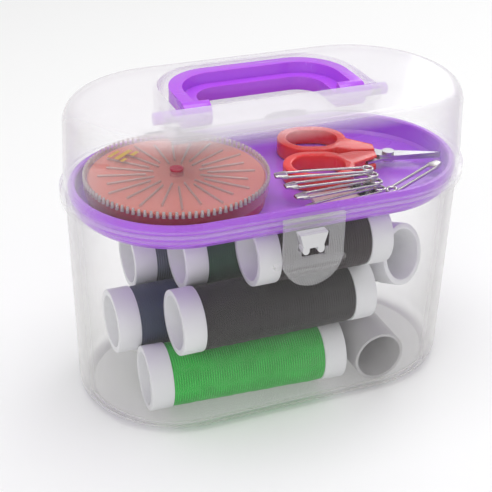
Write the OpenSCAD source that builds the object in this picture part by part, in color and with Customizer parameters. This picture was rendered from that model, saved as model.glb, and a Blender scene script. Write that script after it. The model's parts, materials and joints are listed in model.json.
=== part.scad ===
// Clear sewing box with a lift-out tray, a folding handle and its sewing kit.
// Millimetres. Origin at the centre of the base's flat face, +X along the box,
// +Y to the hinge side, +Z up.

/* [Box] */
// Length over the rim flange
box_l = 125; // [115:1:140]
// Width over the rim flange
box_w = 67; // [66.5:0.5:72]
// Height with the lid closed
box_h = 94; // [93:1:100]
// Height of the parting plane between tub and lid
rim_z = 67; // [66.5:0.5:70]
// Wall of the frosted tub
tub_wall = 1.4; // [1.2:0.1:1.5]
// Wall of the clear lid
lid_wall = 1; // [0.8:0.1:1.1]
// How far the tub wall sits inside the flange at the top
tub_inset = 1.6; // [1.5:0.1:1.8]
// How much each side of the tub draws in towards the base
tub_draft = 0.9; // [0.2:0.1:1.2]

/* [Tray] */
// Depth of the tray skirt below the parting plane
tray_depth = 5.4; // [4:0.1:6]
// Height of the tray lip above the parting plane
tray_lip = 2.4; // [1.5:0.1:3]

/* [Handle] */
// Half the width over the handle's legs
handle_half = 28; // [26:0.5:28.5]
// Reach from the pivot to the outside of the grip bar
handle_reach = 24.2; // [22:0.1:25]
// Thickness of the handle
handle_t = 7.6; // [7:0.1:7.8]
// Radius of the handle's stub pins
stub_r = 1.8; // [1.5:0.1:2]

/* [Latch] */
// Half the width of the latch flap
flap_half = 9.3; // [8:0.1:11]
// Height of the flap's round lower end above the base
flap_low = 46.8; // [45:0.2:50]

/* [Spools] */
// Radius of the end collars
collar_r = 9.9; // [9:0.1:9.9]
// Radius of the wound thread
thread_r = 9.75; // [9:0.05:9.8]
// Radius of the hollow through each spool
spool_bore_r = 8; // [6:0.5:8.2]
// Length of each end collar
collar_l = 7; // [5:0.5:9]

/* [Hidden] */
$fn = 64;

eps = 0.01;
fit_gap = 0.3;
end_x = (box_l - box_w) / 2;      // centre of each round end
rim_r = box_w / 2;                // half width over the flange
flange_t = 1.4;
part_gap = 0.2;                   // gap between the two flanges

// tub
tub_top_r = rim_r - tub_inset;
tub_base_r = tub_top_r - tub_draft;
tub_edge = 4.5;                   // round edge at the base

// lid
lid_flange_t = 1.6;
lid_low = rim_z + part_gap;
lid_low_r = rim_r - 1;
lid_top_r = rim_r - 2;
lid_edge = 5.5;                   // round edge round the lid's top
lid_top_t = 1.3;

// pocket for the handle, in the lid's top
pocket_half = handle_half + 3;
pocket_front = -7.8;
pocket_back = 24.5;
pocket_corner = 18;
pocket_wall = 1.2;
pocket_floor = box_h - 8.7;       // upper face of its floor
pivot_y = pocket_front + handle_t / 2 + 0.4;
pivot_z = box_h - handle_t / 2 + 0.1;
stub_reach = 8.3;
stub_gap = 0.08;
boss_r = 3.1;

// tray
tray_out_r = tub_top_r - tub_wall - 0.4;
tray_wall = 1.2;
tray_in_r = tray_out_r - tray_wall;
tray_lip_r = lid_low_r - lid_wall - fit_gap;
tray_low = rim_z - tray_depth;
tray_floor = tray_low + 1.2;      // upper face of its floor
tray_top = rim_z + tray_lip;

// rear hinge
hinge_y = rim_r + 2.1;
hinge_z = rim_z + 0.1;
hinge_x = 22;                     // each hinge's distance from the middle
pin_r = 1.5;
pin_gap = 0.08;
knuckle_r = 2.4;
knuckle_half = 4.5;
ear_t = 2;
ear_r = 1.9;

// latch flap and the tub's catch
flap_in = rim_r + 0.6;            // inner face, measured to the front
flap_t = 1;
flap_top = lid_low + lid_flange_t - 0.2;
flap_hinge_z = lid_low + lid_flange_t - 0.4;
flap_bead_r = 0.4;
catch_top = 63.3;
window_top = 63.8;
window_low = 58.3;
window_half = 4.9;
notch_low = 56.2;
notch_half = 3.8;
rib_z = 53.3;

// needle compact
compact_x = -28.3;
compact_y = 0.5;
compact_low = tray_floor + 0.1;
compact_top = 71.9;
cover_r = 27;
cover_t = 0.8;
cover_low = 66.6;
base_r = 26;
card_z = 69.9;
hub_r = 2;

// scissors
scissor_x = 41;
scissor_y = -0.5;
scissor_turn = -18;
blade_z = tray_floor + 2.4;       // underside of the lower blade
blade_t = 0.8;
blade_gap = 0.06;
grip_low = tray_floor + 0.2;
grip_t = 5;
ring_x = -23;
ring_y = 9.7;
ring_r = 9.2;
ring_hole = 6.3;
ring_run = 3.6;                   // straight stretch of each finger ring
rivet_r = 1.1;
tang_l = 8.1;                     // reach of the tang slot behind the pivot
tang_gap = 0.1;

// spools: length, centre, direction as [turn about Z, tilt up]
row_front = -17.4;
row_back = 17.5;
floor_z = tub_wall + collar_r + 0.05;
level = 19.85;                    // one collar resting on another
green = [62, [-13.5, -16.3, floor_z], [-3.7, 0]];
black = [62, [-4.8, row_front, floor_z + level], [0, 0]];
brown = [43, [7.8, row_front - 1.5, floor_z + 2 * level + 0.2], [0, 0]];
navy = [60, [-19.8, 1.6, floor_z + 12], [0, 0]];
pine = [52, [-3.2, -0.8, floor_z + 31.8], [0, 0]];
rose = [52, [-13.5, row_back, floor_z], [0, 0]];
slate = [52, [-13.5, row_back, floor_z + level + 4.1], [0, 0]];
plum = [44, [32.3, 4.9, 31.4], [-64, 16.3]];
grey = [40, [28.8, -7, 9.85], [90, 0]];
grey_r = 8.3;
waist_r = 8.8;                    // former between its collars

// ---------- shared shapes ----------

// a rounded-end box wall: the half section is swept round both ends and along both sides
module oblong() {
    for (side = [-1, 1])
        translate([side * end_x, 0, 0])
            rotate([0, 0, -90 * side])
                rotate_extrude(angle = 180)
                    children();
    rotate([90, 0, 90])
        linear_extrude(2 * end_x, center = true) {
            children();
            mirror([1, 0]) children();
        }
}

// flat outline with square front corners and round back corners
module pocket_outline(half, front, back, corner) {
    translate([-half, front]) square([2 * half, back - corner - front]);
    translate([corner - half, front]) square([2 * (half - corner), back - front]);
    for (side = [-1, 1])
        translate([side * (half - corner), back - corner]) intersection() {
            circle(corner);
            translate([-corner, 0]) square([2 * corner, corner]);
        }
}

// a bar of round section along X
module x_rod(r, x0, x1) {
    translate([x0, 0, 0]) rotate([0, 90, 0]) cylinder(r = r, h = x1 - x0);
}

// ---------- tub ----------

// half section of the tub, from the centre line outwards
module tub_section() {
    difference() {
        union() {
            polygon([[0, 0], [tub_base_r - tub_edge, 0], [tub_base_r - tub_edge, tub_edge],
                [tub_base_r, tub_edge], [tub_top_r, rim_z], [0, rim_z]]);
            translate([tub_base_r - tub_edge, tub_edge]) intersection() {
                circle(tub_edge);
                translate([0, -tub_edge]) square([tub_edge, tub_edge + eps]);
            }
            translate([0, rim_z - flange_t]) square([rim_r, flange_t]);
        }
        tub_hollow();
    }
}

// half section of the space inside the tub
module tub_hollow() {
    low_r = tub_base_r - tub_wall;
    edge = tub_edge - tub_wall;
    polygon([[-1, tub_wall], [low_r - edge, tub_wall], [low_r - edge, tub_edge],
        [low_r, tub_edge], [tub_top_r - tub_wall, rim_z + eps], [-1, rim_z + eps]]);
    translate([low_r - edge, tub_edge]) circle(edge);
}

// ears and pins of the rear hinge, moulded on the tub
module hinge_ears() {
    for (side = [-1, 1]) translate([side * hinge_x, 0, 0]) {
        for (end = [-1, 1])
            translate([end * (knuckle_half + fit_gap + ear_t / 2) - ear_t / 2, hinge_y, hinge_z]) {
                x_rod(ear_r, 0, ear_t);
                rotate([90, 0, 90])
                    linear_extrude(ear_t)
                        polygon([[0, -ear_r], [ear_r * 0.7, -ear_r * 0.7], [0, 0], [-ear_r, 0],
                            [-ear_r, -0.2], [-hinge_y + tub_top_r - 0.5, -0.2],
                            [-hinge_y + tub_top_r - 0.5, -5]]);
            }
        translate([0, hinge_y, hinge_z])
            x_rod(pin_r, -knuckle_half - fit_gap - 0.5, knuckle_half + fit_gap + 0.5);
    }
}

// catch that the latch's window drops over, standing on the tub's front wall
module catch() {
    wall_y = -tub_top_r - 0.05;
    front_y = -flap_in - flap_t + 0.15;
    prong_x = 2.3;
    prong_low = window_low - 0.3;
    color([0.93, 0.93, 0.93, 0.4]) {
        translate([0, wall_y, 0]) rotate([90, 0, 0])
            linear_extrude(wall_y - front_y)
                polygon([[-4.3, catch_top], [-3, window_low + 0.6], [3, window_low + 0.6], [4.3, catch_top]]);
        for (side = [-1, 1]) {
            translate([side * prong_x - 1, front_y, prong_low]) cube([2, wall_y - front_y, 1.1]);
            translate([side * prong_x, wall_y, prong_low]) rotate([90, 0, 0])
                cylinder(r = 1, h = wall_y - front_y);
        }
    }
}

// rib below the catch that keeps the flap off the wall
module rib() {
    translate([-11, -tub_top_r - 1.7, rib_z - 0.6]) cube([22, 2.6, 1.2]);
}

module tub() {
    color([0.93, 0.93, 0.93, 0.4]) {
        difference() {
            oblong() tub_section();
            // room in the flange for the lid's knuckles
            for (side = [-1, 1])
                translate([side * hinge_x - knuckle_half - fit_gap, tub_top_r + 0.3,
                    rim_z - flange_t - 1])
                    cube([2 * (knuckle_half + fit_gap), 4, flange_t + 2]);
        }
        hinge_ears();
        rib();
    }
}

// ---------- lid ----------

module lid_section() {
    difference() {
        lid_outline(0);
        lid_outline(lid_wall);
    }
    translate([lid_low_r - lid_wall, lid_low]) square([1 + lid_wall, lid_flange_t]);
}

// half section of the lid's outside, drawn in by a distance all round
module lid_outline(d) {
    top = box_h - (d > 0 ? lid_top_t : 0);
    edge = lid_edge - d;
    shoulder = top - edge;
    low = d > 0 ? lid_low - eps : lid_low;
    out = lid_top_r - d;
    polygon([[0, low], [lid_low_r - d, low], [out, shoulder], [out - edge, shoulder],
        [out - edge, top], [0, top]]);
    translate([out - edge, shoulder]) intersection() {
        circle(edge);
        square(edge);
    }
}

module pocket_cup() {
    translate([0, 0, pocket_floor - pocket_wall])
        linear_extrude(box_h - pocket_floor + pocket_wall - 0.5)
            pocket_outline(pocket_half + pocket_wall, pocket_front - pocket_wall,
                pocket_back + pocket_wall, pocket_corner + pocket_wall);
    for (side = [-1, 1])
        translate([side > 0 ? pocket_half : -pocket_half - pocket_wall - 1.6, pivot_y, pivot_z])
            x_rod(boss_r, 0, pocket_wall + 1.6);
}

module pocket_space() {
    translate([0, 0, pocket_floor])
        linear_extrude(20)
            pocket_outline(pocket_half, pocket_front, pocket_back, pocket_corner);
    translate([0, pivot_y, pivot_z])
        x_rod(stub_r + stub_gap, -pocket_half - 5, pocket_half + 5);
}

// clip knuckle that turns on the tub's pin
module knuckle() {
    translate([0, hinge_y, hinge_z]) difference() {
        union() {
            x_rod(knuckle_r, -knuckle_half, knuckle_half);
            translate([-knuckle_half, -4.2, part_gap - 0.1]) cube([2 * knuckle_half, 4.2, lid_flange_t]);
        }
        x_rod(pin_r + pin_gap, -knuckle_half - 1, knuckle_half + 1);
        // slot that snaps over the pin
        rotate([45, 0, 0]) translate([-knuckle_half - 1, -0.9, -4])
            cube([2 * knuckle_half + 2, 1.8, 4]);
    }
}

module lid() {
    color([0.95, 0.95, 0.97, 0.3]) {
        difference() {
            union() {
                oblong() lid_section();
                pocket_cup();
            }
            pocket_space();
            // room for the tub's pins beside the knuckles
            for (side = [-1, 1])
                translate([side * hinge_x, hinge_y, hinge_z])
                    x_rod(ear_r + 0.2, -knuckle_half - fit_gap - ear_t - 0.3,
                        knuckle_half + fit_gap + ear_t + 0.3);
        }
        for (side = [-1, 1]) translate([side * hinge_x, 0, 0]) knuckle();
    }
}

// ---------- latch ----------

module flap_outline() {
    translate([0, flap_low + flap_half]) circle(flap_half);
    translate([-flap_half, flap_low + flap_half])
        square([2 * flap_half, flap_top - flap_low - flap_half]);
}

module latch() {
    color([0.9, 0.9, 0.92, 0.4]) {
        translate([0, -flap_in, 0]) rotate([90, 0, 0])
            linear_extrude(flap_t) difference() {
                flap_outline();
                translate([-window_half, window_low])
                    square([2 * window_half, window_top - window_low]);
                translate([-notch_half, notch_low])
                    square([2 * notch_half, window_low - notch_low + 1]);
            }
        // finger ridge across the flap
        translate([0, -flap_in - flap_t + 0.1, rib_z - 0.6])
            x_rod(0.55, -7.6, 7.6);
        // bead at the thin living hinge
        translate([0, -flap_in + 0.1, flap_hinge_z])
            x_rod(flap_bead_r, -flap_half, flap_half);
    }
}

// ---------- handle ----------

module handle_outline(d) {
    pocket_outline(handle_half - d, 0, handle_reach - d, 15 - d * 0.6);
}

module handle() {
    rim_w = 3.6;
    leg_w = 8;
    bar_w = 7.6;
    web_drop = 3.4;
    color([0.72, 0.35, 0.95]) translate([0, pivot_y, pivot_z]) {
        difference() {
            union() {
                translate([0, 0, -handle_t / 2]) linear_extrude(handle_t) handle_outline(0);
                for (side = [-1, 1])
                    x_rod(handle_t / 2, side > 0 ? handle_half - leg_w : -handle_half,
                        side > 0 ? handle_half : leg_w - handle_half);
            }
            // finger opening
            translate([0, 0, -handle_t]) linear_extrude(2 * handle_t)
                pocket_outline(handle_half - leg_w, -handle_t, handle_reach - bar_w, 8);
            // sunk web inside the raised rim
            translate([0, 0, handle_t / 2 - web_drop]) linear_extrude(handle_t)
                difference() {
                    pocket_outline(handle_half - rim_w, -handle_t, handle_reach - rim_w - 0.6, 12);
                    translate([-40, -20]) square([80, 20 - 0.01]);
                }
        }
        for (side = [-1, 1])
            x_rod(stub_r, side > 0 ? handle_half - 1 : -handle_half - stub_reach,
                side > 0 ? handle_half + stub_reach : 1 - handle_half);
    }
}

// ---------- tray ----------

module tray_section() {
    edge = 1.6;
    difference() {
        union() {
            polygon([[0, tray_low], [tray_out_r - edge, tray_low], [tray_out_r, tray_low + edge],
                [tray_out_r, rim_z + 0.1], [tray_lip_r, rim_z + 0.1],
                [tray_lip_r, tray_top - 0.8], [tray_lip_r - 0.8, tray_top], [0, tray_top]]);
        }
        polygon([[-1, tray_floor], [tray_in_r - 1, tray_floor], [tray_in_r, tray_floor + 1],
            [tray_in_r, tray_top - 0.5], [tray_in_r + 0.4, tray_top + eps], [-1, tray_top + eps]]);
    }
}

module tray() {
    color([0.75, 0.4, 0.95]) oblong() tray_section();
}

// ---------- needle compact ----------

module at_compact() {
    translate([compact_x, compact_y, 0]) children();
}

module compact_base() {
    color([0.75, 0.1, 0.25]) at_compact() {
        translate([0, 0, compact_low]) cylinder(r = base_r, h = card_z - compact_low - 0.05);
        translate([0, 0, compact_low + 1]) cylinder(r = hub_r, h = compact_top - compact_low - 0.6);
    }
}

module compact_plug() {
    color("white") at_compact() rotate([0, 0, 153])
        translate([base_r + 0.05, 0, compact_low + 1.7]) rotate([0, 90, 0])
            cylinder(r = 1.3, h = 1.6);
}

module needle_card() {
    color([0.9, 0.55, 0.5]) at_compact() translate([0, 0, card_z]) difference() {
        cylinder(r = base_r - 0.4, h = 0.35);
        translate([0, 0, -1]) cylinder(r = hub_r + 0.1, h = 3);
    }
}

module needles() {
    needle_r = 0.33;
    color("silver") at_compact()
        for (i = [0:23])
            rotate([0, 0, 15 * i])
                translate([7 + 2 * (i % 2), 0, card_z + 0.4 + needle_r]) rotate([0, 90, 0])
                    cylinder(r = needle_r, h = 14, $fn = 16);
}

module compact_cover() {
    notch_n = 60;
    color([0.9, 0.85, 0.88, 0.4]) at_compact() difference() {
        translate([0, 0, cover_low]) cylinder(r = cover_r, h = compact_top - cover_low);
        translate([0, 0, cover_low - 1])
            cylinder(r = base_r + 0.2, h = compact_top - cover_low - cover_t + 1);
        cylinder(r = hub_r + 0.08, h = 100);
        // finger notches round the rim
        for (i = [0:notch_n - 1])
            rotate([0, 0, i * 360 / notch_n])
                translate([cover_r + 0.15, 0, compact_top - 1.2])
                    cylinder(r = 0.6, h = 3, $fn = 4);
        // outlet for one needle
        rotate([0, 0, 153]) translate([base_r - 6, -0.9, compact_top - cover_t - 1])
            cube([6, 1.8, 5]);
    }
}

// ---------- scissors ----------

module at_scissors(z) {
    translate([scissor_x, scissor_y, z]) rotate([0, 0, scissor_turn]) children();
}

// one blade, pointing along +X, with its tang running back towards its grip
module blade_outline(side) {
    difference() {
        polygon([[-8, side * 1.2], [-3, -side * 1.8], [2.6, -side * 2.1], [16.6, side * 0.05],
            [16.4, side * 0.5], [2.6, side * 1.9], [-2, side * 2.4], [-7, side * 5]]);
        circle(rivet_r + 0.06);
    }
}

// the back grip's outline: a finger ring with an arm that reaches to the tang
module grip_outline() {
    difference() {
        union() {
            ring_outline(ring_r);
            polygon([[-4.2, 0.5], [-4.2, 4.4], [-9, 7.5], [-16, 12], [-18, 3], [-11, 0.5]]);
        }
        ring_outline(ring_hole);
    }
}

// a circle drawn out along X
module ring_outline(r) {
    for (x = [-ring_run / 2, ring_run / 2])
        translate([ring_x + x, ring_y]) circle(r);
    translate([ring_x - ring_run / 2, ring_y - r]) square([ring_run, 2 * r]);
}

// a blade at its own level; side is +1 for the back grip's blade
module scissor_blade(side, z) {
    color("silver") at_scissors(z) linear_extrude(blade_t) blade_outline(side);
}

module scissor_grip(side) {
    color([0.9, 0.15, 0.15]) at_scissors(grip_low) mirror([0, side < 0 ? 1 : 0, 0])
        difference() {
            linear_extrude(grip_t) grip_outline();
            // slot for its own tang, open to the other blade as well
            translate([-tang_l, -10, blade_z - grip_low - tang_gap])
                cube([tang_l + 2, 20, 2 * blade_t + blade_gap + 2 * tang_gap]);
        }
}

module scissor_rivet() {
    color("silver") at_scissors(blade_z - 0.75) {
        cylinder(r = 1.9, h = 0.7);
        cylinder(r = rivet_r, h = 0.75 + 2 * blade_t + blade_gap + 0.6);
        translate([0, 0, 0.75 + 2 * blade_t + blade_gap + 0.05]) cylinder(r = 1.9, h = 0.75);
    }
}

// ---------- pins and studs ----------

// a closed safety pin lying flat along +X from its cap to its coil
module safety_pin(l, wire) {
    half = 1.9;
    for (side = [-1, 1])
        translate([1, side * (half - wire), 0]) rotate([0, 90, 0])
            cylinder(r = wire, h = l - 2.6, $fn = 16);
    translate([l - 1.7, 0, 0]) rotate_extrude($fn = 32)
        translate([half - wire, 0]) circle(wire * 1.05, $fn = 16);
    translate([-1.2, -half - 0.2, -wire * 1.9]) cube([4, 2 * half + 0.4, wire * 3.8]);
}

module safety_pins() {
    wire = 0.4;
    // each pin lies on the one in front of it, their coils fanned together
    color("silver") for (i = [0:3])
        translate([-1 + 1.4 * i, -10.4 - 4.4 * i, tray_floor + 7.5 - 1.65 * i])
            rotate([0, 0, -11 + 6.5 * i])
                safety_pin(29 - 0.7 * i, wire);
}

module large_safety_pin() {
    color("silver") translate([52.4, -11.4, tray_floor + 3.4])
        rotate([0, 5, 203]) safety_pin(24, 0.5);
}

module stud_card() {
    color([0.93, 0.8, 0.8]) translate([8, -19.6, tray_floor + 0.1]) cube([21.6, 6.8, 0.9]);
}

module press_studs() {
    color([0.08, 0.08, 0.1]) for (i = [0:1], j = [0:1])
        translate([23.6 + 4.2 * i, -17.6 + 4.1 * j, tray_floor + 1.05]) {
            cylinder(r = 1.9, h = 0.5);
            cylinder(r = 1.1, h = 1);
        }
}

// ---------- spools ----------

module place_spool(s) {
    translate(s[1]) rotate([0, 0, s[2][0]]) rotate([0, 90 - s[2][1], 0])
        translate([0, 0, -s[0] / 2]) children();
}

// hollow former with a collar at each end
module spool_core(s) {
    place_spool(s) rotate_extrude() {
        translate([spool_bore_r, 0]) square([waist_r - spool_bore_r, s[0]]);
        for (z = [0, s[0] - collar_l])
            translate([spool_bore_r, z]) square([collar_r - spool_bore_r, collar_l]);
    }
}

module spool_thread(s) {
    place_spool(s) rotate_extrude()
        translate([waist_r + 0.05, collar_l + 0.05])
            square([thread_r - waist_r - 0.05, s[0] - 2 * collar_l - 0.1]);
}

module grey_core() {
    color([0.7, 0.7, 0.72]) place_spool(grey) rotate_extrude()
        translate([grey_r - 1.1, 0]) square([1.1, grey[0]]);
}

module green_core() { color("white") spool_core(green); }
module green_thread() { color([0.15, 0.6, 0.25]) spool_thread(green); }
module black_core() { color("white") spool_core(black); }
module black_thread() { color([0.08, 0.05, 0.07]) spool_thread(black); }
module navy_core() { color("white") spool_core(navy); }
module navy_thread() { color([0.1, 0.15, 0.3]) spool_thread(navy); }
module slate_core() { color("white") spool_core(slate); }
module slate_thread() { color([0.3, 0.33, 0.38]) spool_thread(slate); }
module pine_core() { color("white") spool_core(pine); }
module pine_thread() { color([0.05, 0.25, 0.18]) spool_thread(pine); }
module brown_core() { color("white") spool_core(brown); }
module brown_thread() { color([0.18, 0.1, 0.12]) spool_thread(brown); }
module rose_core() { color("white") spool_core(rose); }
module rose_thread() { color([0.85, 0.4, 0.45]) spool_thread(rose); }
module plum_core() { color("white") spool_core(plum); }
module plum_thread() { color([0.35, 0.12, 0.35]) spool_thread(plum); }

tub();
catch();
lid();
latch();
handle();
tray();
compact_base();
compact_plug();
needle_card();
needles();
compact_cover();
scissor_blade(-1, blade_z);  // scissor_blade_a
scissor_grip(-1);  // scissor_grip_a
scissor_blade(1, blade_z + blade_t + blade_gap);  // scissor_blade_b
scissor_grip(1);  // scissor_grip_b
scissor_rivet();
safety_pins();
large_safety_pin();
stud_card();
press_studs();
green_core();
green_thread();
black_core();
black_thread();
navy_core();
navy_thread();
slate_core();
slate_thread();
pine_core();
pine_thread();
brown_core();
brown_thread();
rose_core();
rose_thread();
plum_core();
plum_thread();
grey_core();
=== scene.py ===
import json
import math

import bmesh
import bpy
from mathutils import Matrix, Vector


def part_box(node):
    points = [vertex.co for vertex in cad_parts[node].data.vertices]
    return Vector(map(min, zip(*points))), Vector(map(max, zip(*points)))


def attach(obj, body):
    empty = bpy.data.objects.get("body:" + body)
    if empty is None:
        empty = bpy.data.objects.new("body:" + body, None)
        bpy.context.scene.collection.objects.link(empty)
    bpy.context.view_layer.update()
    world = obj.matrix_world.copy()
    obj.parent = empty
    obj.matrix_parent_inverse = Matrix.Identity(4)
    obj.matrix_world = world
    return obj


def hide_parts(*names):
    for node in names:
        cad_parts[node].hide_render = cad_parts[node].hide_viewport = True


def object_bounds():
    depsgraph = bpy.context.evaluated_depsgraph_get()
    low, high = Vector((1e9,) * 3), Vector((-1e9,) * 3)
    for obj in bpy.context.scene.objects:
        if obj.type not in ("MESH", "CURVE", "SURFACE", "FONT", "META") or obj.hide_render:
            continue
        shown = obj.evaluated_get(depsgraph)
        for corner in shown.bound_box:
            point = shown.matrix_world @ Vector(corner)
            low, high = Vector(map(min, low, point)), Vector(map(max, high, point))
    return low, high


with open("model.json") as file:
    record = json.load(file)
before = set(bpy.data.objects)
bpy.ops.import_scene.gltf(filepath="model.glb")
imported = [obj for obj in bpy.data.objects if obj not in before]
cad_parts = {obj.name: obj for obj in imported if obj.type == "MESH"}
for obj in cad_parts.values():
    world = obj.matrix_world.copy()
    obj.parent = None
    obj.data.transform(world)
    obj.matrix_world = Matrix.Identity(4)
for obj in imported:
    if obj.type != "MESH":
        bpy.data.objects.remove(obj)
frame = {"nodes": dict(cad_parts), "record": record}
cad_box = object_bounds()
MM = 0.001
record = frame["record"]

# ---------- camera ----------
CAMERA_AZIMUTH = math.radians(-22.4)
CAMERA_ELEVATION = math.radians(29.29)
CAMERA_DISTANCE = 0.356
CAMERA_ROLL = math.radians(1.14)
CAMERA_LENS = 83.4
TARGET_RIGHT = -0.00573
TARGET_HEIGHT = 0.04092


def make_camera():
    back = Vector((math.sin(CAMERA_AZIMUTH) * math.cos(CAMERA_ELEVATION),
                   -math.cos(CAMERA_AZIMUTH) * math.cos(CAMERA_ELEVATION),
                   math.sin(CAMERA_ELEVATION)))
    right = Vector((math.cos(CAMERA_AZIMUTH), math.sin(CAMERA_AZIMUTH), 0))
    up = back.cross(right)
    turned_right = math.cos(CAMERA_ROLL) * right + math.sin(CAMERA_ROLL) * up
    turned_up = -math.sin(CAMERA_ROLL) * right + math.cos(CAMERA_ROLL) * up
    place = Matrix((turned_right, turned_up, back)).transposed().to_4x4()
    place.translation = right * TARGET_RIGHT + Vector((0, 0, TARGET_HEIGHT)) + back * CAMERA_DISTANCE
    data = bpy.data.cameras.new("camera")
    data.lens = CAMERA_LENS
    data.sensor_width = 36
    data.clip_start = 0.01
    camera = bpy.data.objects.new("camera", data)
    camera.matrix_world = place
    bpy.context.scene.collection.objects.link(camera)
    bpy.context.scene.camera = camera


make_camera()


# ---------- shared shader effects ----------
def new_group(name, inputs, outputs):
    group = bpy.data.node_groups.new(name, "ShaderNodeTree")
    for label, kind, value in inputs:
        socket = group.interface.new_socket(name=label, in_out="INPUT", socket_type=kind)
        if value is not None:
            socket.default_value = value
    for label, kind in outputs:
        group.interface.new_socket(name=label, in_out="OUTPUT", socket_type=kind)
    return group, group.nodes.new("NodeGroupInput"), group.nodes.new("NodeGroupOutput")


def math_node(nodes, links, operation, a, b):
    node = nodes.new("ShaderNodeMath")
    node.operation = operation
    for socket, value in zip(node.inputs, (a, b)):
        if isinstance(value, (int, float)):
            socket.default_value = value
        else:
            links.new(value, socket)
    return node.outputs[0]


def mix_colour(nodes, links, factor, a, b, blend="MIX"):
    node = nodes.new("ShaderNodeMix")
    node.data_type = "RGBA"
    node.blend_type = blend
    for socket, value in ((node.inputs[0], factor), (node.inputs[6], a), (node.inputs[7], b)):
        if isinstance(value, (int, float)):
            socket.default_value = value
        elif isinstance(value, tuple):
            socket.default_value = value
        else:
            links.new(value, socket)
    return node.outputs[2]


# Moulded plastic: slow flow variation, fine grain and sparse handling scratches
def build_moulded_surface():
    group, entry, result = new_group("moulded_surface", [
        ("Colour", "NodeSocketColor", (0.8, 0.8, 0.8, 1)),
        ("Variation", "NodeSocketFloat", 0.08),
        ("Roughness", "NodeSocketFloat", 0.3),
        ("Grain Scale", "NodeSocketFloat", 2500.0),
        ("Scratches", "NodeSocketFloat", 0.4)],
        [("Colour", "NodeSocketColor"), ("Roughness", "NodeSocketFloat"), ("Height", "NodeSocketFloat")])
    nodes, links = group.nodes, group.links
    where = nodes.new("ShaderNodeTexCoord").outputs["Object"]
    flow = nodes.new("ShaderNodeTexNoise")
    flow.inputs["Scale"].default_value = 60
    flow.inputs["Detail"].default_value = 4
    links.new(where, flow.inputs["Vector"])
    grain = nodes.new("ShaderNodeTexNoise")
    grain.inputs["Detail"].default_value = 3
    links.new(where, grain.inputs["Vector"])
    links.new(entry.outputs["Grain Scale"], grain.inputs["Scale"])
    stretch = nodes.new("ShaderNodeMapping")
    stretch.inputs["Scale"].default_value = (40, 900, 160)
    stretch.inputs["Rotation"].default_value = (0.4, 0.3, 0.6)
    links.new(where, stretch.inputs["Vector"])
    streak = nodes.new("ShaderNodeTexNoise")
    streak.inputs["Scale"].default_value = 1
    streak.inputs["Detail"].default_value = 2
    links.new(stretch.outputs[0], streak.inputs["Vector"])
    edge = nodes.new("ShaderNodeMapRange")
    edge.inputs["From Min"].default_value = 0.64
    edge.inputs["From Max"].default_value = 0.72
    links.new(streak.outputs["Fac"], edge.inputs["Value"])
    scratch = math_node(nodes, links, "MULTIPLY", edge.outputs[0], entry.outputs["Scratches"])
    centred = math_node(nodes, links, "SUBTRACT", flow.outputs["Fac"], 0.5)
    swing = math_node(nodes, links, "MULTIPLY", centred, entry.outputs["Variation"])
    bright = math_node(nodes, links, "ADD", swing, 1.0)
    shade = nodes.new("ShaderNodeCombineColor")
    for socket in shade.inputs[:3]:
        links.new(bright, socket)
    toned = mix_colour(nodes, links, 1.0, entry.outputs["Colour"], shade.outputs[0], "MULTIPLY")
    links.new(toned, result.inputs["Colour"])
    rough = math_node(nodes, links, "MULTIPLY", swing, 1.5)
    rough = math_node(nodes, links, "ADD", rough, entry.outputs["Roughness"])
    wear = math_node(nodes, links, "MULTIPLY", scratch, 0.25)
    rough = math_node(nodes, links, "ADD", rough, wear)
    links.new(rough, result.inputs["Roughness"])
    fine = math_node(nodes, links, "MULTIPLY", grain.outputs["Fac"], 0.5)
    links.new(math_node(nodes, links, "SUBTRACT", fine, scratch), result.inputs["Height"])
    return group


MOULDED = build_moulded_surface()


def new_material(name):
    material = bpy.data.materials.new(name)
    material.use_nodes = True
    nodes = material.node_tree.nodes
    return material, nodes, material.node_tree.links, nodes["Principled BSDF"]


def add_bump(nodes, links, height, shader, strength, distance):
    bump = nodes.new("ShaderNodeBump")
    bump.inputs["Strength"].default_value = strength
    bump.inputs["Distance"].default_value = distance
    links.new(height, bump.inputs["Height"])
    links.new(bump.outputs[0], shader.inputs["Normal"])


def moulded_plastic(name, colour, roughness, variation=0.1, scratches=0.3, grain=2500.0, metallic=0.0,
                    coat=0.0, subsurface=0.0):
    material, nodes, links, shader = new_material(name)
    surface = nodes.new("ShaderNodeGroup")
    surface.node_tree = MOULDED
    surface.inputs["Colour"].default_value = (*colour, 1)
    surface.inputs["Variation"].default_value = variation
    surface.inputs["Roughness"].default_value = roughness
    surface.inputs["Grain Scale"].default_value = grain
    surface.inputs["Scratches"].default_value = scratches
    links.new(surface.outputs["Colour"], shader.inputs["Base Color"])
    links.new(surface.outputs["Roughness"], shader.inputs["Roughness"])
    add_bump(nodes, links, surface.outputs["Height"], shader, 0.12, 0.00004)
    shader.inputs["Metallic"].default_value = metallic
    shader.inputs["Coat Weight"].default_value = coat
    shader.inputs["IOR"].default_value = 1.49
    shader.inputs["Subsurface Weight"].default_value = subsurface
    shader.inputs["Subsurface Scale"].default_value = 0.002
    return material


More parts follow.
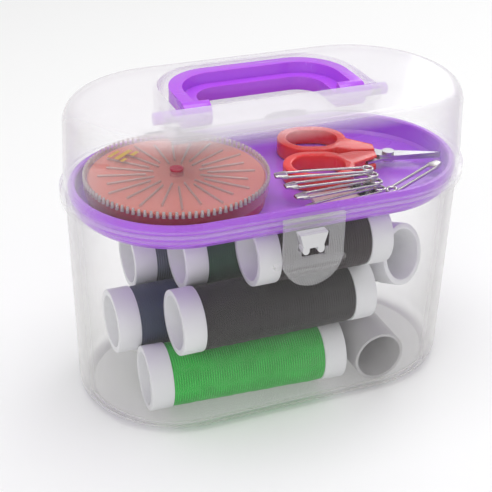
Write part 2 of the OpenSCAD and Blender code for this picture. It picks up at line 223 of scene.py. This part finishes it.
# Clear polypropylene: a see-through wall with a thin milky haze, denser where it is seen edge on; an optional ramp
# makes the top whiter, partly milky haze and partly a painted sheen standing in for the overhead light reflected in the
# lid's top face
def hazy_clear(name, haze_colour, haze, edge_haze, gloss_roughness, scratches=0.4, top_haze_and_painted_sheen=0.0, top_height=1.0):
    material, nodes, links, shader = new_material(name)
    surface = nodes.new("ShaderNodeGroup")
    surface.node_tree = MOULDED
    surface.inputs["Colour"].default_value = (*haze_colour, 1)
    surface.inputs["Variation"].default_value = 0.08
    surface.inputs["Roughness"].default_value = gloss_roughness
    surface.inputs["Scratches"].default_value = scratches
    links.new(surface.outputs["Colour"], shader.inputs["Base Color"])
    links.new(surface.outputs["Roughness"], shader.inputs["Roughness"])
    add_bump(nodes, links, surface.outputs["Height"], shader, 0.02, 0.00002)
    rim = nodes.new("ShaderNodeLayerWeight")
    rim.inputs["Blend"].default_value = 0.5
    edge = math_node(nodes, links, "POWER", rim.outputs["Facing"], 2.6)
    edge = math_node(nodes, links, "MULTIPLY", edge, edge_haze)
    marks = math_node(nodes, links, "MULTIPLY", surface.outputs["Height"], -0.05)
    alpha = math_node(nodes, links, "ADD", edge, marks)
    alpha = math_node(nodes, links, "ADD", alpha, haze + 0.012)
    # painted sheen: near the top the wall turns a more opaque white, partly milky haze and partly standing in for the
    # overhead light reflected in the top face
    if top_haze_and_painted_sheen:
        height = nodes.new("ShaderNodeSeparateXYZ")
        links.new(nodes.new("ShaderNodeTexCoord").outputs["Object"], height.inputs[0])
        top_haze_and_sheen_ramp = nodes.new("ShaderNodeMapRange")
        top_haze_and_sheen_ramp.inputs["From Min"].default_value = top_height - 0.004
        top_haze_and_sheen_ramp.inputs["From Max"].default_value = top_height
        top_haze_and_sheen_ramp.inputs["To Max"].default_value = top_haze_and_painted_sheen
        links.new(height.outputs["Z"], top_haze_and_sheen_ramp.inputs["Value"])
        alpha = math_node(nodes, links, "ADD", alpha, top_haze_and_sheen_ramp.outputs[0])
    links.new(alpha, shader.inputs["Alpha"])
    shader.inputs["IOR"].default_value = 1.49
    shader.inputs["Specular IOR Level"].default_value = 1.0
    shader.inputs["Coat Weight"].default_value = 0.35
    shader.inputs["Coat Roughness"].default_value = 0.08
    return material


# Wound sewing thread: fine turns that cross at two small angles, with painted shade in the grooves between turns
def wound_thread(name, colour, groove_shade):
    material, nodes, links, shader = new_material(name)
    where = nodes.new("ShaderNodeUVMap")
    where.uv_map = "winding"
    heights = []
    for lean in (0.055, -0.055):
        turn = nodes.new("ShaderNodeMapping")
        turn.inputs["Rotation"].default_value = (0, 0, lean)
        links.new(where.outputs[0], turn.inputs["Vector"])
        wave = nodes.new("ShaderNodeTexWave")
        wave.wave_type = "BANDS"
        wave.bands_direction = "X"
        wave.inputs["Scale"].default_value = 420
        wave.inputs["Distortion"].default_value = 0.5
        wave.inputs["Detail"].default_value = 2
        wave.inputs["Detail Scale"].default_value = 0.4
        links.new(turn.outputs[0], wave.inputs["Vector"])
        heights.append(wave.outputs["Fac"])
    turns = math_node(nodes, links, "MULTIPLY", math_node(nodes, links, "ADD", heights[0], heights[1]), 0.5)
    cloud = nodes.new("ShaderNodeTexNoise")
    cloud.inputs["Scale"].default_value = 220
    cloud.inputs["Detail"].default_value = 5
    links.new(where.outputs[0], cloud.inputs["Vector"])
    # painted shade: the darker colour fills the low grooves between turns, broken up by a random noise tone
    groove_shade_and_tone_mix = math_node(nodes, links, "MULTIPLY", turns, cloud.outputs["Fac"])
    groove_shade_and_tone_mix = math_node(nodes, links, "MULTIPLY", groove_shade_and_tone_mix, 1.7)
    links.new(mix_colour(nodes, links, groove_shade_and_tone_mix, (*groove_shade, 1), (*colour, 1)), shader.inputs["Base Color"])
    rough = math_node(nodes, links, "MULTIPLY", turns, -0.15)
    links.new(math_node(nodes, links, "ADD", rough, 0.75), shader.inputs["Roughness"])
    add_bump(nodes, links, turns, shader, 0.6, 0.00016)
    shader.inputs["Sheen Weight"].default_value = 0.08
    shader.inputs["Sheen Roughness"].default_value = 0.4
    return material


def ground_steel(name, colour, roughness):
    material, nodes, links, shader = new_material(name)
    where = nodes.new("ShaderNodeTexCoord").outputs["Object"]
    stretch = nodes.new("ShaderNodeMapping")
    stretch.inputs["Scale"].default_value = (300, 5000, 5000)
    stretch.inputs["Rotation"].default_value = (0, 0, math.radians(72))
    links.new(where, stretch.inputs["Vector"])
    brush = nodes.new("ShaderNodeTexNoise")
    brush.inputs["Scale"].default_value = 1
    links.new(stretch.outputs[0], brush.inputs["Vector"])
    shade = tuple(0.72 * c for c in colour)
    links.new(mix_colour(nodes, links, brush.outputs["Fac"], (*shade, 1), (*colour, 1)), shader.inputs["Base Color"])
    rough = math_node(nodes, links, "MULTIPLY", brush.outputs["Fac"], 0.16)
    links.new(math_node(nodes, links, "ADD", rough, roughness), shader.inputs["Roughness"])
    add_bump(nodes, links, brush.outputs["Fac"], shader, 0.08, 0.00002)
    shader.inputs["Metallic"].default_value = 1
    return material


LID_TOP = cad_box[1][2]
THICK_FROST = hazy_clear("thick_frost", (0.96, 0.96, 0.97), 0.6, 0.4, 0.22, 0.2)
MATERIALS = {
    "frosted_shell": hazy_clear("frosted_shell", (0.86, 0.85, 0.83), 0.014, 0.85, 0.30, 0.25),
    # the lid's top ramp whitens its top face: partly milky haze, partly painted sheen of the overhead light
    "clear_lid": hazy_clear("clear_lid", (0.92, 0.90, 0.94), 0.010, 0.8, 0.12, 0.15, 0.22, LID_TOP),
    "clear_latch": hazy_clear("clear_latch", (0.95, 0.95, 0.96), 0.16, 0.5, 0.16, 0.3),
    "compact_clear": hazy_clear("compact_clear", (0.95, 0.62, 0.58), 0.05, 0.7, 0.10, 0.2),
    "purple_handle": moulded_plastic("purple_handle", (0.47, 0.09, 0.83), 0.24, coat=0.25, subsurface=0.1),
    "purple_tray": moulded_plastic("purple_tray", (0.47, 0.13, 0.84), 0.28, coat=0.2, subsurface=0.1),
    "compact_red": moulded_plastic("compact_red", (0.55, 0.008, 0.06), 0.25, coat=0.3),
    "white_plastic": moulded_plastic("white_plastic", (0.88, 0.88, 0.88), 0.35),
    "pink_card": moulded_plastic("pink_card", (0.78, 0.17, 0.13), 0.7, variation=0.2, grain=5000.0),
    "needle_steel": ground_steel("needle_steel", (0.62, 0.50, 0.48), 0.35),
    "blade_steel": ground_steel("blade_steel", (0.72, 0.72, 0.75), 0.22),
    "grip_red": moulded_plastic("grip_red", (0.90, 0.022, 0.02), 0.25, coat=0.3, subsurface=0.08),
    "pin_wire": ground_steel("pin_wire", (0.78, 0.76, 0.74), 0.16),
    "stud_card": moulded_plastic("stud_card", (0.88, 0.66, 0.66), 0.3),
    "stud_black": moulded_plastic("stud_black", (0.012, 0.012, 0.015), 0.22, coat=0.4),
    "spool_white": moulded_plastic("spool_white", (0.84, 0.84, 0.86), 0.45, variation=0.12),
    "spool_grey": moulded_plastic("spool_grey", (0.50, 0.49, 0.50), 0.5, variation=0.2),
    # each thread's second colour is painted shade for the grooves between its turns
    "green_thread": wound_thread("green_thread", (0.03, 0.62, 0.07), (0.006, 0.30, 0.02)),
    "black_thread": wound_thread("black_thread", (0.014, 0.006, 0.010), (0.002, 0.001, 0.002)),
    "navy_thread": wound_thread("navy_thread", (0.03, 0.05, 0.12), (0.008, 0.014, 0.04)),
    "slate_thread": wound_thread("slate_thread", (0.15, 0.17, 0.22), (0.05, 0.06, 0.08)),
    "pine_thread": wound_thread("pine_thread", (0.006, 0.085, 0.04), (0.001, 0.025, 0.012)),
    "brown_thread": wound_thread("brown_thread", (0.030, 0.011, 0.018), (0.006, 0.002, 0.004)),
    "rose_thread": wound_thread("rose_thread", (0.72, 0.22, 0.28), (0.35, 0.08, 0.10)),
    "plum_thread": wound_thread("plum_thread", (0.17, 0.04, 0.17), (0.05, 0.01, 0.05)),
}
SLOT_OF = {part["node"]: part["material_slot"] for part in record["subparts"]}

for node_name, node_object in frame["nodes"].items():
    node_object.data.materials.clear()
    node_object.data.materials.append(MATERIALS[SLOT_OF[node_name]])
frame["nodes"]["catch"].data.materials[0] = THICK_FROST


# ---------- shared making ----------
def finish_piece(mesh, name, slot, body, replaced=(), smooth=True):
    bmesh.ops.recalc_face_normals(mesh, faces=mesh.faces)
    data = bpy.data.meshes.new(name)
    mesh.to_mesh(data)
    mesh.free()
    for face in data.polygons:
        face.use_smooth = smooth
    piece = bpy.data.objects.new(name, data)
    data.materials.append(MATERIALS[slot])
    bpy.context.scene.collection.objects.link(piece)
    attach(piece, body)
    if replaced:
        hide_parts(*replaced)
    return piece


def tidy_copy(node):
    mesh = bmesh.new()
    mesh.from_mesh(frame["nodes"][node].data)
    bmesh.ops.remove_doubles(mesh, verts=mesh.verts, dist=0.000002)
    bmesh.ops.dissolve_limit(mesh, angle_limit=math.radians(0.6), verts=mesh.verts, edges=mesh.edges)
    return mesh


def smooth_by_angle(piece, degrees):
    for face in piece.data.polygons:
        face.use_smooth = True
    mesh = bmesh.new()
    mesh.from_mesh(piece.data)
    for edge in mesh.edges:
        if len(edge.link_faces) == 2:
            edge.smooth = edge.calc_face_angle(0) < math.radians(degrees)
    mesh.to_mesh(piece.data)
    mesh.free()


# ---------- rounded copies of the moulded pieces ----------
def rounded(node, slot, body, radius, segments=3):
    mesh = tidy_copy(node)
    sharp = [e for e in mesh.edges if len(e.link_faces) == 2 and e.calc_face_angle(0) > math.radians(40)]
    bmesh.ops.bevel(mesh, geom=sharp, offset=radius, offset_type="OFFSET", segments=segments, profile=0.5,
                    affect="EDGES", clamp_overlap=True, material=-1)
    piece = finish_piece(mesh, node + "_rounded", slot, body, (node,))
    smooth_by_angle(piece, 35)
    return piece


rounded("handle", "purple_handle", "handle", 0.0006)
for grip, body in (("scissor_grip_a", "tray"), ("scissor_grip_b", "scissor_half")):
    rounded(grip, "grip_red", body, 0.0007)


SPOOL_COLOURS = ("green", "black", "navy", "slate", "pine", "brown", "rose", "plum")
for core in (*SPOOL_COLOURS, "grey"):
    rounded(core + "_core", SLOT_OF[core + "_core"], "tub", 0.0003, 2)


# ---------- safety pins ----------
# the small pins' stack, as the part places it: foot of each pin, its step to the next, its turn
TRAY_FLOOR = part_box("tray")[0].z + 1.2 * MM
PIN_FOOT = Vector((-1, -10.4, 0)) * MM
PIN_STEP = Vector((1.4, -4.4, -1.65)) * MM
PIN_HEIGHT = 7.5 * MM
PIN_HALF = 1.9 * MM


def wire_tube(mesh, points, radius):
    """Sweeps a round wire along points by extruding a small circle."""
    ring = None
    for index, point in enumerate(points):
        before = points[max(index - 1, 0)]
        after = points[min(index + 1, len(points) - 1)]
        turn = (after - before).to_track_quat("Z", "Y").to_matrix().to_4x4()
        made = bmesh.ops.create_circle(mesh, cap_ends=index in (0, len(points) - 1), segments=10,
                                       radius=radius, matrix=Matrix.Translation(point) @ turn)
        edges = list({e for v in made["verts"] for e in v.link_edges})
        if ring:
            bmesh.ops.bridge_loops(mesh, edges=ring + edges)
        ring = edges


def safety_pin(whole, length, wire, place):
    mesh = bmesh.new()
    half = PIN_HALF - wire
    far = length - 1.7 * MM
    # pointed shaft, a coil and a half, then the back shaft
    path = [Vector((1 * MM, half, 0)), Vector((far * 0.5, half * 1.06, 0.0001)), Vector((far, half, 0))]
    for step in range(1, 37):
        angle = math.pi / 2 - step * math.pi * 3 / 36
        path.append(Vector((far + half * math.cos(angle), half * math.sin(angle),
                            wire * 1.1 * math.sin(step * math.pi / 36))))
    path += [Vector((far * 0.5, -half * 0.96, 0)), Vector((1 * MM, -half, 0))]
    wire_tube(mesh, path, wire)
    # stamped cap folded round both shafts
    cap = bmesh.ops.create_cube(mesh, size=1, matrix=Matrix.Translation((1 * MM, 0, 0)) @ Matrix.Diagonal(
        (4 * MM, 2 * PIN_HALF + 0.2 * MM, wire * 3.4, 1)))
    narrow = [v for v in cap["verts"] if v.co.x < 1 * MM]
    bmesh.ops.scale(mesh, vec=(1, 0.62, 0.8), verts=narrow)
    bmesh.ops.bevel(mesh, geom=list({e for v in cap["verts"] for e in v.link_edges}), offset=0.5 * MM,
                    offset_type="OFFSET", segments=4, profile=0.5, affect="EDGES", clamp_overlap=True, material=-1)
    bmesh.ops.transform(mesh, matrix=place, verts=mesh.verts)
    alone = bpy.data.meshes.new("one_pin")
    mesh.to_mesh(alone)
    mesh.free()
    whole.from_mesh(alone)
    bpy.data.meshes.remove(alone)


pins = bmesh.new()
for i in range(4):
    foot = PIN_FOOT + PIN_STEP * i + Vector((0, 0, TRAY_FLOOR + PIN_HEIGHT))
    lie = Matrix.Translation(foot) @ Matrix.Rotation(math.radians(-11 + 6.5 * i), 4, "Z")
    safety_pin(pins, (29 - 0.7 * i) * MM, 0.4 * MM, lie)
smooth_by_angle(finish_piece(pins, "bent_wire_pins", "pin_wire", "tray", ("safety_pins",)), 40)
big_pin = bmesh.new()
big_place = (Matrix.Translation(Vector((52.4, -11.4, 3.4)) * MM + Vector((0, 0, TRAY_FLOOR)))
             @ Matrix.Rotation(math.radians(203), 4, "Z") @ Matrix.Rotation(math.radians(5), 4, "Y"))
safety_pin(big_pin, 24 * MM, 0.5 * MM, big_place)
smooth_by_angle(finish_piece(big_pin, "bent_wire_large_pin", "pin_wire", "tray", ("large_safety_pin",)), 40)


# ---------- plain gold bars printed on the compact ----------
# each bar: offset along, offset across, length, width
BARS = ((0, 0, 7.5, 1.5), (1.2, 2.6, 5.0, 1.1), (-2.4, -2.4, 3.2, 1.3), (3.0, -2.3, 2.4, 1.1))


def printed_bars():
    low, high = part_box("compact_cover")
    centre = (low + high) / 2
    mesh = bmesh.new()
    for along, across, length, width in BARS:
        place = (Matrix.Translation((centre.x, centre.y, high.z + 0.00002)) @ Matrix.Rotation(math.radians(128), 4, "Z")
                 @ Matrix.Translation((19 * MM + across * MM, along * MM, 0)) @ Matrix.Diagonal((width * MM, length * MM, 0.00004, 1)))
        bmesh.ops.create_cube(mesh, size=1, matrix=place)
    piece = finish_piece(mesh, "printed_bars", "compact_red", "compact_cover", smooth=False)
    piece.data.materials[0] = moulded_plastic("gold_print", (0.80, 0.52, 0.12), 0.3, metallic=0.6, variation=0.3)


printed_bars()


# ---------- serrated rim of the compact's cover ----------
RIM_TEETH = 96


def serrated_rim():
    low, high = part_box("compact_cover")
    centre = (low + high) / 2
    radius = (high.x - low.x) / 2
    mesh = bmesh.new()
    for tooth in range(RIM_TEETH):
        place = (Matrix.Translation((centre.x, centre.y, high.z - 0.0011))
                 @ Matrix.Rotation(2 * math.pi * tooth / RIM_TEETH, 4, "Z")
                 @ Matrix.Translation((radius - 0.0001, 0, 0)))
        bmesh.ops.create_cone(mesh, cap_ends=True, segments=6, radius1=0.00055, radius2=0.0004,
                              depth=0.0018, matrix=place)
    piece = finish_piece(mesh, "serrated_rim", "compact_clear", "compact_cover")
    piece.data.materials[0] = hazy_clear("rim_haze", (0.97, 0.88, 0.86), 0.4, 0.4, 0.2, 0.1)


serrated_rim()


# ---------- wound thread ----------
THREAD_RADIUS = 9.75 * MM


def thread_frame(node):
    """Centre, direction and length of a winding, from its own mesh."""
    points = [v.co.copy() for v in frame["nodes"][node].data.vertices]
    centre = sum(points, Vector()) / len(points)
    spread = Matrix(((0, 0, 0), (0, 0, 0), (0, 0, 0)))
    for p in points:
        d = p - centre
        for i in range(3):
            for j in range(3):
                spread[i][j] += d[i] * d[j]
    axis = Vector((1, 0.01, 0.02)).normalized()
    for _ in range(60):
        axis = (spread @ axis).normalized()
    reach = [(p - centre).dot(axis) for p in points]
    middle = (max(reach) + min(reach)) / 2
    return centre + axis * middle, axis, max(reach) - min(reach)


def wound_thread_piece(colour, number):
    node = colour + "_thread"
    centre, axis, length = thread_frame(node)
    mesh = bmesh.new()
    rings = 44
    # a slightly crowned winding with small ridges where its layers end
    start = bmesh.ops.create_circle(mesh, cap_ends=False, segments=72, radius=THREAD_RADIUS,
                                    matrix=Matrix.Translation((0, 0, -length / 2)))
    edges = list({e for v in start["verts"] for e in v.link_edges})
    for _ in range(rings):
        grown = bmesh.ops.extrude_edge_only(mesh, edges=edges)
        verts = [g for g in grown["geom"] if isinstance(g, bmesh.types.BMVert)]
        edges = [g for g in grown["geom"] if isinstance(g, bmesh.types.BMEdge)]
        bmesh.ops.translate(mesh, verts=verts, vec=(0, 0, length / rings))
    for v in mesh.verts:
        along = v.co.z / length + 0.5
        ripple = 0.00005 * math.sin(along * 71 + number) + 0.00004 * math.sin(along * 23 + 2 * number)
        shoulder = 0.00025 * max(0, 1 - min(along, 1 - along) / 0.03)
        radius = THREAD_RADIUS - 0.0001 + ripple - shoulder
        v.co.x, v.co.y = (radius * Vector((v.co.x, v.co.y)).normalized())
    layer = mesh.loops.layers.uv.new("winding")
    for face in mesh.faces:
        middle = face.calc_center_median()
        turn = math.atan2(middle.y, middle.x)
        for loop in face.loops:
            angle = math.atan2(loop.vert.co.y, loop.vert.co.x)
            while angle - turn > math.pi:
                angle -= 2 * math.pi
            while turn - angle > math.pi:
                angle += 2 * math.pi
            loop[layer].uv = (loop.vert.co.z, angle * THREAD_RADIUS)
    turned = axis.to_track_quat("Z", "Y").to_matrix().to_4x4()
    bmesh.ops.transform(mesh, matrix=Matrix.Translation(centre) @ turned, verts=mesh.verts)
    finish_piece(mesh, node + "_winding", node, "tub", (node,))


for number, colour in enumerate(SPOOL_COLOURS):
    wound_thread_piece(colour, number)


# ---------- floor and light ----------
def make_floor():
    mesh = bmesh.new()
    bmesh.ops.create_grid(mesh, x_segments=1, y_segments=1, size=3)
    data = bpy.data.meshes.new("floor")
    mesh.to_mesh(data)
    mesh.free()
    floor = bpy.data.objects.new("floor", data)
    bpy.context.scene.collection.objects.link(floor)
    material, nodes, links, shader = new_material("floor")
    tone = nodes.new("ShaderNodeTexNoise")
    tone.inputs["Scale"].default_value = 3
    links.new(nodes.new("ShaderNodeTexCoord").outputs["Object"], tone.inputs["Vector"])
    links.new(mix_colour(nodes, links, tone.outputs["Fac"], (0.93, 0.93, 0.93, 1), (0.95, 0.95, 0.95, 1)),
              shader.inputs["Base Color"])
    shader.inputs["Roughness"].default_value = 0.6
    data.materials.append(material)


def soft_light(name, place, aim, size, power, colour=(1, 1, 1)):
    data = bpy.data.lights.new(name, "AREA")
    data.shape = "RECTANGLE"
    data.size, data.size_y = size
    data.energy = power
    data.color = colour
    light = bpy.data.objects.new(name, data)
    light.location = place
    light.rotation_euler = (Vector(aim) - Vector(place)).to_track_quat("-Z", "Y").to_euler()
    bpy.context.scene.collection.objects.link(light)


def make_light():
    world = bpy.data.worlds.new("studio")
    world.use_nodes = True
    world.node_tree.nodes["Background"].inputs["Color"].default_value = (1, 1, 1, 1)
    world.node_tree.nodes["Background"].inputs["Strength"].default_value = 0.56
    bpy.context.scene.world = world
    soft_light("overhead", (0, 0, 0.8), (0, 0, 0.05), (0.7, 0.5), 3.0)
    soft_light("front_left", (-0.6, -0.7, 0.5), (0, 0, 0.05), (0.5, 0.5), 1.6)
    soft_light("back_right", (0.6, 0.5, 0.5), (0, 0, 0.06), (0.5, 0.4), 1.2)


make_floor()
make_light()
bpy.context.scene.view_settings.view_transform = "Standard"
